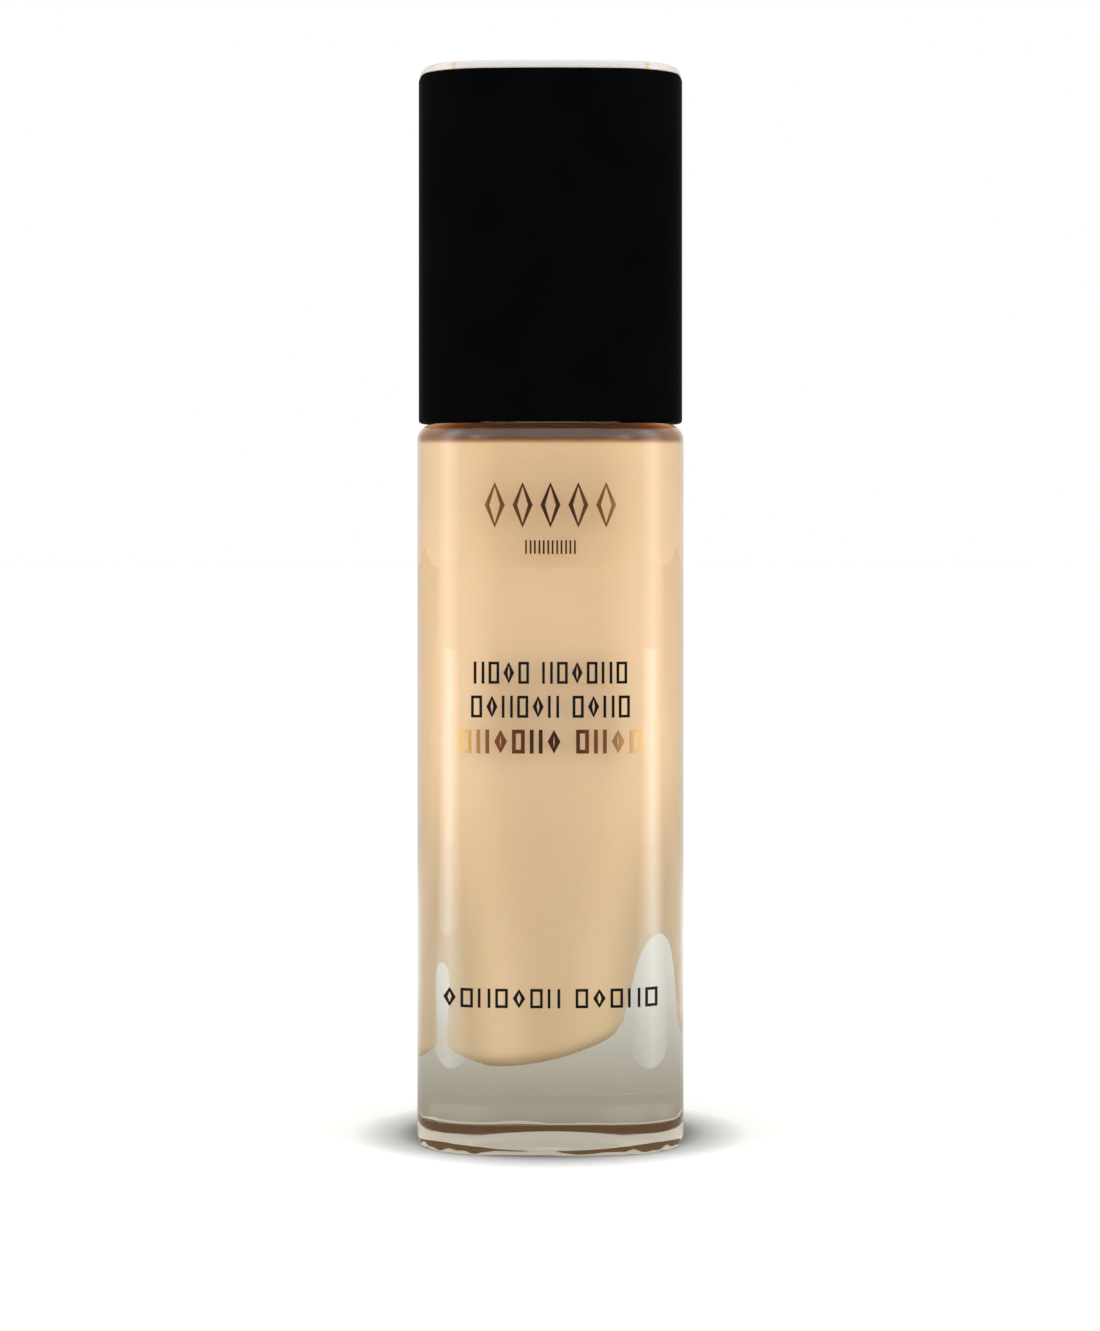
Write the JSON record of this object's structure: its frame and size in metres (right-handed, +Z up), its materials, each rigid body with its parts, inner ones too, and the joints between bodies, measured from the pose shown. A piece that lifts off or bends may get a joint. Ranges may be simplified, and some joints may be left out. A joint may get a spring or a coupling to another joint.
{
  "type": "foundation bottle",
  "caption": "Square glass foundation bottle with a thick clear base, a screw-on treatment pump under a tall black lift-off overcap and a clear top plate.",
  "frame": {"origin": "centre of the bottle's underside, on the surface it stands on", "axes": "+Z up along the bottle, -Y out of the printed front face, +X to the right of that face"},
  "size_m": [0.03, 0.0301, 0.1196],
  "materials": {
    "clear_glass": "polished, slightly warm",
    "foundation": "opaque cream liquid",
    "gold_ink": "brown gold foil print",
    "black_ink": "screen-printed ink",
    "gasket_foam": "foamed polyethylene",
    "natural_plastic": "natural polypropylene",
    "tube_plastic": "translucent polyethylene",
    "steel": "bright stainless",
    "piston_plastic": "waxy polyethylene",
    "collar_plastic": "moulded polypropylene",
    "gold_metal": "polished gold anodised",
    "actuator_plastic": "glossy moulded",
    "soft_black": "matte soft-touch",
    "liner_plastic": "moulded polypropylene",
    "gold_foil": "bright hot-stamped foil",
    "clear_acrylic": "polished clear acrylic"
  },
  "bodies": {
    "bottle": {"glass_bottle": "clear_glass", "foundation_fill": "foundation", "gold_print": "gold_ink", "black_print": "black_ink"},
    "pump_core": {"pump_housing": "natural_plastic", "dip_tube": "tube_plastic", "chaplet": "natural_plastic", "neck_gasket": "gasket_foam", "main_spring": "steel"},
    "collar": {"screw_collar": "collar_plastic", "collar_sleeve": "gold_metal"},
    "head": {"stem": "natural_plastic", "valve_rod": "natural_plastic"},
    "actuator": {"actuator": "actuator_plastic", "nozzle_insert": "gold_metal"},
    "piston": {"piston": "piston_plastic"},
    "inlet_ball": {"inlet_ball": "steel"},
    "cap": {"cap_shell": "soft_black", "cap_liner": "liner_plastic", "cap_foil": "gold_foil", "cap_top_plate": "clear_acrylic"}
  },
  "joints": [
    {"name": "pump_rise", "type": "slide", "parent": "bottle", "child": "pump_core", "axis": [0, 0, 1], "range_m": [0, 0.00476]},
    {"name": "collar_turn", "type": "hinge", "parent": "pump_core", "child": "collar", "pos_m": [0, 0, 0.09], "axis": [0, 0, 1], "range_deg": [0, 540]},
    {"name": "head_press", "type": "slide", "parent": "pump_core", "child": "head", "axis": [0, 0, -1], "range_m": [0, 0.004], "stiffness_N_per_m": 1200, "springref_m": -0.004, "deforming": ["main_spring"]},
    {"name": "head_swivel", "type": "hinge", "parent": "head", "child": "actuator", "pos_m": [0, 0, 0.105], "axis": [0, 0, 1], "continuous": true},
    {"name": "piston_slip", "type": "slide", "parent": "head", "child": "piston", "axis": [0, 0, 1], "range_m": [0, 0.0008]},
    {"name": "ball_lift", "type": "slide", "parent": "pump_core", "child": "inlet_ball", "axis": [0, 0, 1], "range_m": [0, 0.001]},
    {"name": "cap_lift", "type": "slide", "parent": "collar", "child": "cap", "axis": [0, 0, 1], "range_m": [0, 0.042]}
  ],
  "couplings": [
    {"joint": "pump_rise", "follows": "collar_turn", "m_per_rad": 0.00050532}
  ]
}
